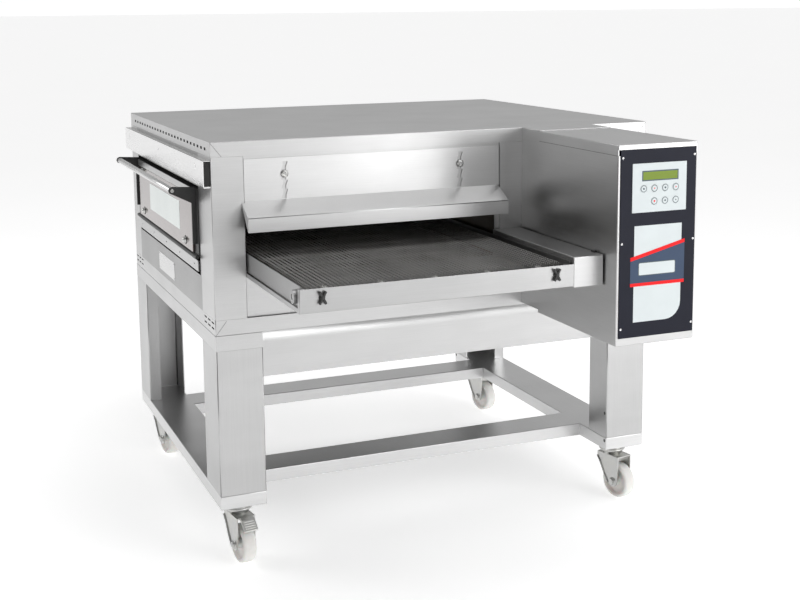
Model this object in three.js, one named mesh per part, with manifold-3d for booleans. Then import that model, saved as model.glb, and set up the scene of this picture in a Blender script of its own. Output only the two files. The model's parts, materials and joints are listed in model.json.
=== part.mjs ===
import * as THREE from 'three';
import { mergeVertices } from 'three/addons/utils/BufferGeometryUtils.js';
import Module from 'manifold-3d';

const wasm = await Module();
wasm.setup();

// Conveyor pizza oven on a wheeled stand. Millimetres, Z up, floor at Z 0.
// While drawing, X 0 is the door side and Y 0 the outlet end of the oven body.
const BODY = { width: 1250, depth: 1040, base: 619, top: 1108.5 };
const SHEET = 2;
const GAP = 0.3;
const BASE_BAND_TOP = 659;
const COVER_BAND_BASE = 1070.5;
const ORIGIN_X = 592.5;
const ORIGIN_Y = 490.5;

// Tunnel, belt and conveyor frame.
const MOUTH = { left: 86, right: 781, low: 762, high: 950 };
const RECESS = { left: 84, right: 794, depth: 8 };
const BELT = { left: 100, right: 750, axisZ: 798, outer: 24, inner: 20 };
const SHAFT_OVERHANG = 405;
const SHAFT_RADIUS = 6;
const SHAFT_BORE = 6.4;
const TRAY_REACH = 439;

// Door side.
const DOORWAY = { near: 138, far: 936, low: 750, high: 984 };
const DOOR_MARGIN = 8;
const HANDLE = { x: -63, z: 973, radius: 8, near: 158, far: 914 };
const HINGE = { x: -7, z: 797 };

// Control box.
const BOX = { left: 856.5, right: 1077, back: -103, front: -494, top: 1080 };
const CAP_TOP = 1106.5;
const PANEL = { left: 863, right: 1074, low: 638, high: 1094, front: -496 };

// Stand.
const STAND = { width: 1258, depth: 1045, member: 122 };
const LOWER_RAIL = { low: 161, high: 197 };
const UPPER_RAIL = { low: 579, high: 618.7 };

// Casters.
const WHEEL = { radius: 51, width: 35, bore: 6.4, trail: 30 };
const CASTER_INSET = { x: 61, y: 66 };

const group = new THREE.Group();

const finishes = {
  stainless: { color: 0xc4c5c7, roughness: 0.35, metalness: 0.9 },
  darkSteel: { color: 0x8a8b8e, roughness: 0.4, metalness: 0.9 },
  linerSteel: { color: 0x77736e, roughness: 0.5, metalness: 0.8 },
  beltWire: { color: 0x9a9a9c, roughness: 0.35, metalness: 0.95 },
  blackPaint: { color: 0x1b1b1d, roughness: 0.5, metalness: 0.2 },
  tintedGlass: { color: 0x6b5a55, roughness: 0.08, metalness: 0.0 },
  castMetal: { color: 0x6e7175, roughness: 0.55, metalness: 0.7 },
  zinc: { color: 0xb4b7ba, roughness: 0.3, metalness: 0.9 },
  nylon: { color: 0xeeeeec, roughness: 0.45, metalness: 0.0 },
  navy: { color: 0x2d3042, roughness: 0.45, metalness: 0.0 },
  label: { color: 0xebf5f8, roughness: 0.5, metalness: 0.0 },
};

function addPart(name, geometry, finishName) {
  const finish = finishes[finishName];
  geometry.translate(-ORIGIN_X, -ORIGIN_Y, 0);
  const material = new THREE.MeshStandardMaterial(finish);
  const mesh = new THREE.Mesh(geometry, material);
  mesh.name = name;
  group.add(mesh);
}

// Solid helpers: every part is drawn from boxes, prisms and lathed rounds.
function box(x0, x1, y0, y1, z0, z1) {
  const geometry = new THREE.BoxGeometry(x1 - x0, y1 - y0, z1 - z0);
  return geometry.translate((x0 + x1) / 2, (y0 + y1) / 2, (z0 + z1) / 2);
}

// Extrudes an outline along an axis: outline pairs are YZ for x, XZ for y, XY for z.
function prism(outline, axis, from, to) {
  const shape = new THREE.Shape(outline.map(([u, v]) => new THREE.Vector2(u, v)));
  const geometry = new THREE.ExtrudeGeometry(shape, { depth: to - from, bevelEnabled: false });
  const turn = new THREE.Matrix4();
  if (axis === 'x') {
    turn.makeBasis(new THREE.Vector3(0, 1, 0), new THREE.Vector3(0, 0, 1), new THREE.Vector3(1, 0, 0));
    turn.setPosition(from, 0, 0);
  } else if (axis === 'y') {
    turn.makeBasis(new THREE.Vector3(1, 0, 0), new THREE.Vector3(0, 0, 1), new THREE.Vector3(0, -1, 0));
    turn.setPosition(0, to, 0);
  } else {
    turn.setPosition(0, 0, from);
  }
  return geometry.applyMatrix4(turn);
}

function circle(u, v, radius, sides) {
  const points = [];
  for (let i = 0; i < sides; i += 1) {
    const angle = (2 * Math.PI * (i + 0.5)) / sides;
    points.push([u + radius * Math.cos(angle), v + radius * Math.sin(angle)]);
  }
  return points;
}

function rod(axis, u, v, radius, from, to, sides = 16) {
  return prism(circle(u, v, radius, sides), axis, from, to);
}

// Lathes pairs of (radius, height) about an axis through a point.
function turned(profile, axis, centre, sides = 28) {
  const points = profile.map(([radius, height]) => new THREE.Vector2(radius, height));
  const geometry = new THREE.LatheGeometry(points, sides);
  if (axis === 'x') {
    geometry.rotateZ(-Math.PI / 2);
  } else if (axis === 'z') {
    geometry.rotateX(Math.PI / 2);
  }
  return geometry.translate(centre[0], centre[1], centre[2]);
}

function toSolid(geometry) {
  const bare = geometry.clone();
  bare.deleteAttribute('normal');
  bare.deleteAttribute('uv');
  const merged = mergeVertices(bare, 1e-4);
  const index = merged.index.array;
  const triangles = [];
  for (let i = 0; i < index.length; i += 3) {
    const [a, b, c] = [index[i], index[i + 1], index[i + 2]];
    if (a !== b && b !== c && a !== c) {
      triangles.push(a, b, c);
    }
  }
  const mesh = new wasm.Mesh({
    numProp: 3,
    vertProperties: new Float32Array(merged.attributes.position.array),
    triVerts: new Uint32Array(triangles),
  });
  return new wasm.Manifold(mesh);
}

function fromSolid(solid) {
  const mesh = solid.getMesh();
  const geometry = new THREE.BufferGeometry();
  geometry.setAttribute('position', new THREE.BufferAttribute(mesh.vertProperties, 3));
  geometry.setIndex(new THREE.BufferAttribute(mesh.triVerts, 1));
  const flat = geometry.toNonIndexed();
  flat.computeVertexNormals();
  return flat;
}

function join(...pieces) {
  let solid = toSolid(pieces[0]);
  for (const piece of pieces.slice(1)) {
    solid = solid.add(toSolid(piece));
  }
  return fromSolid(solid);
}

function cut(base, ...cutters) {
  let solid = toSolid(base);
  for (const cutter of cutters) {
    solid = solid.subtract(toSolid(cutter));
  }
  return fromSolid(solid);
}

// Scales and shifts a shape, then swaps two corners of each triangle so that its faces point out again.
function mirrored(geometry, scale, shift) {
  const flat = geometry.index ? geometry.toNonIndexed() : geometry.clone();
  flat.scale(...scale).translate(...shift);
  const { position } = flat.attributes;
  const second = new THREE.Vector3();
  const third = new THREE.Vector3();
  for (let i = 0; i < position.count; i += 3) {
    second.fromBufferAttribute(position, i + 1);
    third.fromBufferAttribute(position, i + 2);
    position.setXYZ(i + 1, ...third);
    position.setXYZ(i + 2, ...second);
  }
  return flat;
}

function mirrorX(geometry, width) {
  return mirrored(geometry, [-1, 1, 1], [width, 0, 0]);
}

function mirrorY(geometry, depth) {
  return mirrored(geometry, [1, -1, 1], [0, depth, 0]);
}

// Base tray: a shallow pan the body stands in, with vent slots by the door-side corners.
const PAN_WALL = 3;
const CORNER_VENT = { rows: [634, 648], starts: [12, 50, 88], length: 25, height: 4 };
function baseTray() {
  const pan = box(0, BODY.width, 0, BODY.depth, BODY.base, BASE_BAND_TOP);
  const insideX = [PAN_WALL, BODY.width - PAN_WALL];
  const insideY = [PAN_WALL, BODY.depth - PAN_WALL];
  const inside = box(...insideX, ...insideY, BODY.base + PAN_WALL, BASE_BAND_TOP + 1);
  const vents = [];
  for (const row of CORNER_VENT.rows) {
    for (const start of CORNER_VENT.starts) {
      const vent = box(-1, PAN_WALL + 1, start, start + CORNER_VENT.length, row, row + CORNER_VENT.height);
      vents.push(vent, mirrorY(vent, BODY.depth));
    }
  }
  return cut(pan, inside, ...vents);
}
addPart('base_tray', baseTray(), 'stainless');

// Top cover: a lid with folded bands and a row of vent slots along the door side.
const LID_VENT = { count: 25, first: 43, pitch: 38, length: 18, low: 1084.5, high: 1091.5 };
function topCover() {
  const lid = box(0, BODY.width, 0, BODY.depth, COVER_BAND_BASE, BODY.top);
  const insideX = [SHEET, BODY.width - SHEET];
  const insideY = [SHEET, BODY.depth - SHEET];
  const inside = box(...insideX, ...insideY, COVER_BAND_BASE - 1, BODY.top - SHEET);
  const vents = [];
  for (let i = 0; i < LID_VENT.count; i += 1) {
    const start = LID_VENT.first + i * LID_VENT.pitch;
    vents.push(box(-1, SHEET + 1, start, start + LID_VENT.length, LID_VENT.low, LID_VENT.high));
  }
  return cut(lid, inside, ...vents);
}
addPart('top_cover', topCover(), 'stainless');

// End panel: one sheet folded round both corners, recessed for the shutter, with the tunnel mouth.
// Two studs stand in the recess; the shutter hangs on them.
const DRIVE_CORNER_RETURN = 60;
const STUD = { places: [191, 677], z: 1020, shank: 3, head: 8 };
function endPanel(cornerReturn) {
  const { left, right, depth } = RECESS;
  const t = SHEET;
  const farReturn = DRIVE_CORNER_RETURN;
  const outline = [
    [0, 0], [left, 0], [left, depth], [right, depth], [right, 0], [BODY.width, 0],
    [BODY.width, farReturn], [BODY.width - t, farReturn], [BODY.width - t, t], [right + t, t],
    [right + t, depth + t], [left - t, depth + t], [left - t, t], [t, t],
    [t, cornerReturn], [0, cornerReturn],
  ];
  const sheet = prism(outline, 'z', BASE_BAND_TOP + GAP, COVER_BAND_BASE - GAP);
  const mouth = box(MOUTH.left, MOUTH.right, -5, 40, MOUTH.low, MOUTH.high);
  const chainWay = box(801, 848, -5, 40, 764, 832);
  const solid = cut(sheet, mouth, chainWay);
  const studs = [];
  for (const x of STUD.places) {
    studs.push(rod('y', x, STUD.z, STUD.shank, 2.5, depth + 1, 10));
    studs.push(rod('y', x, STUD.z, STUD.head, 1, 4, 12));
  }
  return join(solid, ...studs);
}
addPart('outlet_end_panel', endPanel(DOORWAY.near - DOOR_MARGIN - GAP), 'stainless');

// Cable gland in the inlet end panel, where the mains lead enters: a hexagon nut and a domed cap.
const GLAND = { x: 1150, z: 700, bore: 6, nut: 15, nutDepth: 7, cap: 11, capDepth: 18 };
const inletReturn = BODY.depth - DOORWAY.far - DOOR_MARGIN - GAP;
const inletSheet = mirrorY(endPanel(inletReturn), BODY.depth);
const glandHole = rod('y', GLAND.x, GLAND.z, GLAND.bore, BODY.depth - 5, BODY.depth + 30, 12);
addPart('inlet_end_panel', cut(inletSheet, glandHole), 'stainless');

function cableGland() {
  const face = BODY.depth + GAP;
  const nut = rod('y', GLAND.x, GLAND.z, GLAND.nut, face, face + GLAND.nutDepth, 6);
  const cap = rod('y', GLAND.x, GLAND.z, GLAND.cap, face, face + GLAND.capDepth, 16);
  return cut(join(nut, cap), glandHole);
}
addPart('cable_gland', cableGland(), 'blackPaint');

// Door-side panel with the doorway, and the louvred panel on the drive side.
function doorSidePanel() {
  const low = BASE_BAND_TOP + GAP;
  const ends = [DOORWAY.near - DOOR_MARGIN, DOORWAY.far + DOOR_MARGIN];
  const sheet = box(0, SHEET, ...ends, low, COVER_BAND_BASE - GAP);
  const doorway = box(-1, SHEET + 1, DOORWAY.near, DOORWAY.far, DOORWAY.low, DOORWAY.high);
  return cut(sheet, doorway);
}
addPart('door_side_panel', doorSidePanel(), 'stainless');

const LOUVRE = { rows: 8, lowest: 720, pitch: 22, height: 7, spans: [[160, 400], [640, 880]] };
function driveSidePanel() {
  const x = BODY.width - SHEET;
  const ends = [DRIVE_CORNER_RETURN + GAP, BODY.depth - DRIVE_CORNER_RETURN - GAP];
  const sheet = box(x, BODY.width, ...ends, BASE_BAND_TOP + GAP, COVER_BAND_BASE - GAP);
  const louvres = [];
  for (let i = 0; i < LOUVRE.rows; i += 1) {
    const z = LOUVRE.lowest + i * LOUVRE.pitch;
    for (const span of LOUVRE.spans) {
      louvres.push(box(x - 1, BODY.width + 1, ...span, z, z + LOUVRE.height));
    }
  }
  return cut(sheet, ...louvres);
}
addPart('drive_side_panel', driveSidePanel(), 'stainless');

// Baking chamber: a liner open at both ends and at the doorway, which carries the door's throat.
const CHAMBER = { left: 60, right: 800, low: 740, high: 975, ends: [12, BODY.depth - 12] };
const THROAT = { left: 16, near: 150, far: 924, low: 792, high: 970, wall: 3 };
function chamberLiner() {
  const { left, right, low, high, ends } = CHAMBER;
  const shell = box(left, right, ...ends, low, high);
  const insideX = [left + SHEET, right - SHEET];
  const hollow = box(...insideX, ends[0] - 1, ends[1] + 1, low + SHEET, high - SHEET);
  const throat = box(THROAT.left, left + 1, THROAT.near, THROAT.far, THROAT.low, THROAT.high);
  const throatX = [THROAT.left - 1, left + SHEET + 1];
  const throatY = [THROAT.near + THROAT.wall, THROAT.far - THROAT.wall];
  const throatZ = [THROAT.low + THROAT.wall, THROAT.high - THROAT.wall];
  return cut(join(cut(shell, hollow), throat), box(...throatX, ...throatY, ...throatZ), hollow);
}
addPart('chamber_liner', chamberLiner(), 'linerSteel');

// Air panels above and below the belt, slotted so that hot air blows on the food.
const AIR_SLOT = { count: 8, first: 120, pitch: 108, width: 14, left: 130, right: 730 };
function airPanel(low, high) {
  const plate = box(CHAMBER.left + 3, CHAMBER.right - 3, 60, BODY.depth - 60, low, high);
  const slots = [];
  for (let i = 0; i < AIR_SLOT.count; i += 1) {
    const y = AIR_SLOT.first + i * AIR_SLOT.pitch;
    slots.push(box(AIR_SLOT.left, AIR_SLOT.right, y, y + AIR_SLOT.width, low - 1, high + 1));
  }
  return cut(plate, ...slots);
}
addPart('upper_air_panel', airPanel(915, 919), 'linerSteel');
addPart('lower_air_panel', airPanel(752, 756), 'linerSteel');

// Tubular heating element in the space above the upper air panel.
const ELEMENT = { runs: 5, first: 200, pitch: 160, left: 140, right: 700, z: 945, half: 5 };
function heatingElement() {
  const { left, right, z, half } = ELEMENT;
  const tubes = [];
  for (let i = 0; i < ELEMENT.runs; i += 1) {
    const y = ELEMENT.first + i * ELEMENT.pitch;
    tubes.push(box(left - half, right + half, y - half, y + half, z - half, z + half));
    if (i + 1 < ELEMENT.runs) {
      const side = i % 2 === 0 ? right : left;
      tubes.push(box(side - half, side + half, y - half, y + ELEMENT.pitch + half, z - half, z + half));
    }
  }
  return join(...tubes);
}
addPart('heating_element', heatingElement(), 'castMetal');

// Circulation fan beside the chamber: its wheel turns on the motor's shaft.
const FAN = { y: 520, z: 860 };
function fanWheel() {
  const profile = [
    [SHAFT_BORE, 0], [30, 0], [30, 6], [95, 6], [95, 8], [14, 8], [14, 44], [SHAFT_BORE, 44],
    [SHAFT_BORE, 0],
  ];
  const hub = turned(profile, 'x', [812, FAN.y, FAN.z], 16);
  const blades = [];
  for (let i = 0; i < 8; i += 1) {
    const blade = box(819, 856, -1, 1, 60, 92);
    blade.rotateX((i * Math.PI) / 4);
    blades.push(blade.translate(0, FAN.y, FAN.z));
  }
  return join(hub, ...blades);
}
addPart('fan_wheel', fanWheel(), 'zinc');

function fanMotor() {
  const shaft = rod('x', FAN.y, FAN.z, SHAFT_RADIUS, 813, 902, 12);
  const body = rod('x', FAN.y, FAN.z, 70, 900, 1050, 24);
  const foot = box(900, 912, FAN.y - 90, FAN.y + 90, BODY.base + 3.3, FAN.z);
  return join(shaft, body, foot);
}
addPart('fan_motor', fanMotor(), 'castMetal');

// Heat shield over the door: a stand-off plate on a black insulating strip.
function heatShield() {
  const plate = box(-19, -17, 0, BODY.depth, 998, 1063);
  const tab = box(-17.5, -GAP, 0.5, 2, 995.5, 998.5);
  return join(plate, tab);
}
addPart('heat_shield', heatShield(), 'stainless');
addPart('shield_spacer', box(-17 + GAP, -GAP, 2.5, BODY.depth - 2.5, 1000, 1060), 'blackPaint');

// Sill strip under the door.
addPart('door_sill', box(-4, 1, 152, 930, 758, 787), 'stainless');

// Door: black steel frame with two side arms, glass pane and round bar handle.
function doorFrame() {
  const frame = box(-3, 12, 140, 934, 799, 976);
  const window = box(-4, 13, 328, 727, 842, 921);
  const rail = box(-10, -2, 182, 892, 958, 976);
  const knuckle = rod('y', HINGE.x, HINGE.z, 5, 142, 932, 12);
  const leaf = box(-6, -3 + 0.5, 145, 929, 798, 803);
  const { x, z } = HANDLE;
  const outline = [
    [-2, z + 6], [x, z + 10], [x - 7, z + 7], [x - 10, z], [x - 7, z - 7], [x, z - 10],
    [-14, 938], [-14, 830], [-2, 830],
  ];
  const arms = [HANDLE.near, HANDLE.far].map((y) => prism(outline, 'y', y - 3, y + 3));
  return join(cut(frame, window), rail, knuckle, leaf, ...arms);
}
addPart('door_frame', doorFrame(), 'blackPaint');
addPart('door_glass', box(-9, -4, 182, 892, 805, 957), 'tintedGlass');
const handleEnds = [HANDLE.near + 3.3, HANDLE.far - 3.3];
addPart('door_handle', rod('y', HANDLE.x, HANDLE.z, HANDLE.radius, ...handleEnds, 20), 'stainless');

// Shutter: a sheet that slides up and down in the recess, with a sloping hood and lip over the mouth.
const HOOD = { left: 77, right: 790.5 };
const HANG_SLOT = { low: 958, teeth: 4, pitch: 23.5, half: 4, bite: 5, rise: 9 };
function hangSlot(x) {
  const { low, teeth, pitch, half, bite, rise } = HANG_SLOT;
  const height = teeth * pitch;
  const saw = [];
  for (let i = 0; i < teeth; i += 1) {
    const foot = i * pitch;
    saw.push([half, foot], [half, foot + rise], [half + bite, foot + pitch - 1]);
  }
  saw.push([half, height]);
  const outline = saw.concat(saw.map(([across, up]) => [-across, height - up]));
  return prism(outline.map(([across, up]) => [x + across, low + up]), 'y', 3, 9);
}

function shutter() {
  const outline = [
    [7.2, 1062], [5.2, 1062], [5.2, 956], [-57, 921.8], [-57, 886], [-55, 886], [-55, 920.4],
    [7.2, 954.6],
  ];
  const sheet = prism(outline, 'x', HOOD.left, HOOD.right);
  const trim = box(HOOD.left - 1, RECESS.left + 2, -0.5, 20, 940, 1070);
  const slots = STUD.places.map(hangSlot);
  const gusset = [[-1, 951.2], [-56, 921], [-56, 887], [-52, 887], [-1, 945]];
  const ends = [[HOOD.left + 0.2, HOOD.left + 2], [HOOD.right - 2, HOOD.right - 0.2]];
  const gussets = ends.map((span) => prism(gusset, 'x', ...span));
  return join(cut(sheet, trim, ...slots), ...gussets);
}
addPart('outlet_shutter', shutter(), 'stainless');
addPart('inlet_shutter', mirrorY(shutter(), BODY.depth), 'stainless');

// Conveyor side rails, with a bearing boss at each end for the shafts.
const SHAFT_Y = [-SHAFT_OVERHANG, BODY.depth + SHAFT_OVERHANG];
function rail(x0, x1, bossFrom, bossTo) {
  const plate = box(x0, x1, -425, BODY.depth + 425, 776, 824);
  const bosses = SHAFT_Y.map((y) => rod('x', y, BELT.axisZ, 16, bossFrom, bossTo, 20));
  const bores = SHAFT_Y.map((y) => rod('x', y, BELT.axisZ, SHAFT_BORE, x0 - 20, x1 + 20));
  return cut(join(plate, ...bosses), ...bores);
}
addPart('conveyor_rail_left', rail(88, 91, 77, 90), 'stainless');
addPart('conveyor_rail_right', rail(768, 771, 762, 770), 'stainless');

// Belt: one endless loop of woven wire, drawn as a thin band.
function stadium(radius) {
  const points = [];
  const steps = 10;
  for (const [end, start] of [[1, -Math.PI / 2], [0, Math.PI / 2]]) {
    for (let i = 0; i <= steps; i += 1) {
      const angle = start + (Math.PI * i) / steps;
      points.push([SHAFT_Y[end] + radius * Math.cos(angle), BELT.axisZ + radius * Math.sin(angle)]);
    }
  }
  return points;
}
function meshBelt() {
  const outer = prism(stadium(BELT.outer), 'x', BELT.left, BELT.right);
  const inner = prism(stadium(BELT.inner), 'x', BELT.left - 1, BELT.right + 1);
  return cut(outer, inner);
}
addPart('mesh_belt', meshBelt(), 'beltWire');

// Shafts: each carries a row of belt wheels; the drive shaft also has the chain wheel.
function beltShaft(from, to, y, extraProfile) {
  const profile = [[0, 0], [SHAFT_RADIUS, 0]];
  for (let i = 0; i < 5; i += 1) {
    const start = 149 - from + i * 135;
    profile.push([SHAFT_RADIUS, start], [19, start], [19, start + 12], [SHAFT_RADIUS, start + 12]);
  }
  profile.push(...extraProfile.map(([radius, x]) => [radius, x - from]));
  profile.push([SHAFT_RADIUS, to - from], [0, to - from]);
  return turned(profile, 'x', [from, y, BELT.axisZ], 12);
}
const CHAIN_WHEEL = [[SHAFT_RADIUS, 804], [23, 804], [23, 810], [SHAFT_RADIUS, 810]];
addPart('drive_shaft', beltShaft(78, 826, SHAFT_Y[0], CHAIN_WHEEL), 'zinc');
addPart('idler_shaft', beltShaft(78, 770, SHAFT_Y[1], []), 'zinc');

// Chain from the gear motor to the drive shaft, and the motor's own chain wheel.
const MOTOR_Y = 70;
function driveChain() {
  const loop = (radius) => {
    const points = [];
    for (const [y, start] of [[MOTOR_Y, -Math.PI / 2], [SHAFT_Y[0], Math.PI / 2]]) {
      for (let i = 0; i <= 8; i += 1) {
        const angle = start + (Math.PI * i) / 8;
        points.push([y + radius * Math.cos(angle), BELT.axisZ + radius * Math.sin(angle)]);
      }
    }
    return points;
  };
  return cut(prism(loop(28.5), 'x', 804, 810), prism(loop(24.5), 'x', 803, 811));
}
addPart('drive_chain', driveChain(), 'zinc');

function motorWheel() {
  const profile = [[0, 0], [23, 0], [23, 6], [10, 6], [10, 20], [0, 20]];
  return turned(profile, 'x', [804, MOTOR_Y, BELT.axisZ], 20);
}
addPart('motor_wheel', motorWheel(), 'zinc');

function gearMotor() {
  const gearbox = box(830, 930, 30, 150, 755, 850);
  const motor = rod('x', 90, 810, 38, 928, 1090, 20);
  const foot = box(835, 925, 40, 140, BODY.base + 3.3, 756);
  return join(gearbox, motor, foot);
}
addPart('gear_motor', gearMotor(), 'castMetal');

// Chain cover along the conveyor's drive side.
function chainCover() {
  const shell = box(772.3, 853, -TRAY_REACH, -GAP, 761, 836);
  const hollow = box(774.3, 851, -TRAY_REACH + SHEET, 1, 763, 834);
  const shaftWay = rod('x', SHAFT_Y[0], BELT.axisZ, 9, 770, 776, 16);
  const notches = [box(850, 854, -408, -396, 826, 833), box(850, 854, -408, -396, 764, 771)];
  return cut(shell, hollow, shaftWay, ...notches);
}
addPart('chain_cover', chainCover(), 'stainless');

// Crumb tray: a shallow pan hung under the conveyor, closed at the end by a tall front wall.
function crumbTray() {
  const floor = box(83, 772, -TRAY_REACH, -8, 764, 766);
  const front = box(83, 772, -TRAY_REACH, -TRAY_REACH + SHEET, 764, 819);
  const rims = [box(83, 85, -TRAY_REACH, -8, 764, 775), box(770, 772, -TRAY_REACH, -8, 764, 775)];
  const cheek = box(83, 99, -TRAY_REACH, -TRAY_REACH + 12, 764, 819);
  return join(floor, front, ...rims, cheek);
}
addPart('outlet_crumb_tray', crumbTray(), 'stainless');
addPart('inlet_crumb_tray', mirrorY(crumbTray(), BODY.depth), 'stainless');

// Wing latches on the outlet tray: a hub with a leaning wing.
function trayLatch(x) {
  const hub = rod('y', x, 798, 6, -TRAY_REACH - 7, -TRAY_REACH - GAP, 12);
  const wing = [[x - 4, 800], [x - 11, 812], [x - 6, 816], [x + 4, 802], [x + 11, 784], [x + 6, 780]];
  return join(hub, prism(wing, 'y', -TRAY_REACH - 9, -TRAY_REACH - 5));
}
addPart('tray_latch_left', trayLatch(136), 'blackPaint');
addPart('tray_latch_right', trayLatch(724), 'blackPaint');

// Control box: a folded shell on a neck that joins it to the body.
const NECK = { left: 860, right: 1073.5, low: 625 };
function controlBox() {
  const shell = box(BOX.left, BOX.right, BOX.front, BOX.back, BODY.base, BOX.top);
  const neck = box(NECK.left, NECK.right, BOX.back - SHEET, -GAP, NECK.low, BODY.top);
  const trim = box(BOX.left - 5, BOX.right + 3, BOX.front, BOX.back + 0.01, BOX.top, BODY.top + 1);
  const insideX = [BOX.left + SHEET, BOX.right - SHEET];
  const insideY = [BOX.front + SHEET, BOX.back - SHEET];
  const hollow = box(...insideX, ...insideY, BODY.base + SHEET, BOX.top + 1);
  const neckX = [NECK.left + SHEET, NECK.right - SHEET];
  const neckHollow = box(...neckX, BOX.back - 5, 1, NECK.low + SHEET, BODY.top - SHEET);
  const keyWay = box(910, 1035, BOX.front - 1, BOX.front + 3, 955, 1012);
  return cut(join(shell, neck), trim, hollow, neckHollow, keyWay);
}
addPart('control_box', controlBox(), 'stainless');

function controlCap() {
  const { left, right, front, back, top } = BOX;
  const panelTop = PANEL.high + 0.5;
  const lid = box(left, right, PANEL.front, back - GAP, top + GAP, CAP_TOP);
  const insideX = [left + SHEET, right - SHEET];
  const hollow = box(...insideX, PANEL.front + SHEET, back - SHEET - GAP, top, CAP_TOP - SHEET);
  const panelRoom = box(...insideX, PANEL.front - 1, PANEL.front + 3, top, panelTop);
  const cornerRoom = box(left - 1, right + 1, PANEL.front - 1, front - GAP, top, panelTop);
  return cut(lid, hollow, panelRoom, cornerRoom);
}
addPart('control_cap', controlCap(), 'stainless');

// Keypad: seven round keys in two rows, each in its own hole.
const KEYS = [
  [926, 999], [956, 999], [986, 999], [1016, 999],
  [956, 968], [986, 968], [1016, 968],
];
const KEY_RADIUS = 8.6;
function controlPanel() {
  const plate = box(PANEL.left, PANEL.right, PANEL.front, BOX.front - GAP, PANEL.low, PANEL.high);
  const holes = KEYS.map(([x, z]) => rod('y', x, z, KEY_RADIUS + 0.5, -500, -490, 12));
  return cut(plate, ...holes);
}
addPart('control_panel', controlPanel(), 'navy');

function keypadPlate() {
  const plate = box(895, 1046, PANEL.front - 1.2, PANEL.front - 0.2, 942, 1060);
  const holes = KEYS.map(([x, z]) => rod('y', x, z, KEY_RADIUS + 0.5, -500, -490, 12));
  return cut(plate, ...holes);
}
addPart('keypad_plate', keypadPlate(), 'label');

KEYS.forEach(([x, z], i) => {
  addPart(`key_${i + 1}`, rod('y', x, z, KEY_RADIUS, PANEL.front - 2, PANEL.front + 0.7, 12), 'label');
});

// Stand legs: folded channels open to the inside of the stand, with a stiffening lip.
function leg() {
  const m = STAND.member;
  const t = 3;
  const outline = [
    [0, 0], [m, 0], [m, 96], [m - t, 96], [m - t, t], [t, t],
    [t, 147 - t], [35, 147 - t], [35, 147], [0, 147],
  ];
  return prism(outline, 'z', LOWER_RAIL.high + GAP, UPPER_RAIL.low - GAP);
}
addPart('leg_front_left', leg(), 'stainless');
addPart('leg_front_right', mirrorX(leg(), STAND.width), 'stainless');
addPart('leg_rear_left', mirrorY(leg(), STAND.depth), 'stainless');
addPart('leg_rear_right', mirrorX(mirrorY(leg(), STAND.depth), STAND.width), 'stainless');

// Upper frame: a channel under each side of the oven, joined by an apron sheet front and rear.
function upperFrame() {
  const { low, high } = UPPER_RAIL;
  const m = STAND.member;
  const side = cut(
    box(0, m, 0, STAND.depth, low, high),
    box(3, m - 3, 3, STAND.depth - 3, low - 1, high - 3),
  );
  const apron = join(
    box(m - 1, STAND.width - m + 1, 45, 47, low + 1, high),
    box(m + GAP, STAND.width - m - GAP, 45, 47, 489, low + 2),
  );
  const flange = box(m - 1, STAND.width - m + 1, 45, 75, high - 2, high);
  const pieces = [side, mirrorX(side, STAND.width)];
  pieces.push(apron, flange, mirrorY(apron, STAND.depth), mirrorY(flange, STAND.depth));
  return join(...pieces);
}
addPart('upper_frame', upperFrame(), 'stainless');

// Lower frame: two long channels joined by two cross channels, open underneath.
function lowerFrame() {
  const { low, high } = LOWER_RAIL;
  const m = STAND.member;
  const side = box(0, m, 0, STAND.depth, low, high);
  const sideHollow = box(3, m - 3, 3, STAND.depth - 3, low + 3, high - 3);
  const sideSlot = box(20, m - 20, 135, STAND.depth - 115, low - 1, low + 4);
  const channel = cut(side, sideHollow, sideSlot);
  const bars = [];
  for (const [from, to] of [[150, 262], [812, 924]]) {
    const bar = box(m - 1, STAND.width - m + 1, from, to, low, high);
    bars.push(cut(bar, box(m, STAND.width - m, from + 3, to - 3, low - 1, high - 3)));
  }
  return join(channel, mirrorX(channel, STAND.width), ...bars);
}
addPart('lower_frame', lowerFrame(), 'darkSteel');

// Casters: a pressed fork on a swivel head, with a nylon wheel on its axle.
function casterFork() {
  const stemTop = LOWER_RAIL.low - GAP;
  const profile = [
    [0, 128], [26, 128], [30, 136], [38, 142], [38, 148], [30, 152], [30, 156], [12, 158],
    [12, stemTop], [0, stemTop],
  ];
  const head = turned(profile, 'z', [0, 0, 0], 16);
  const crown = box(-26, 26, -52, 34, 124, 130);
  const axleY = -WHEEL.trail;
  const outline = [
    [-52, 130], [34, 130], [34, 116], [6, 70], [axleY + 14, 40], [axleY, 34], [axleY - 14, 40], [-52, 72],
  ];
  const cheeks = [prism(outline, 'x', -26, -22.5), prism(outline, 'x', 22.5, 26)];
  const axle = rod('x', axleY, WHEEL.radius, SHAFT_RADIUS, -30, 30, 12);
  const nuts = [[-33, -25.5], [25.5, 33]].map((ends) => rod('x', axleY, WHEEL.radius, 10, ...ends, 6));
  return join(head, crown, ...cheeks, axle, ...nuts);
}

function casterWheel() {
  const half = WHEEL.width / 2;
  const profile = [
    [WHEEL.bore, -21], [13, -21], [13, -10], [36, -10], [41, -half], [46, -half], [51, -11],
    [51, 11], [46, half], [41, half], [36, 10], [13, 10], [13, 21], [WHEEL.bore, 21], [WHEEL.bore, -21],
  ];
  return turned(profile, 'x', [0, -WHEEL.trail, WHEEL.radius], 24);
}

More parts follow.
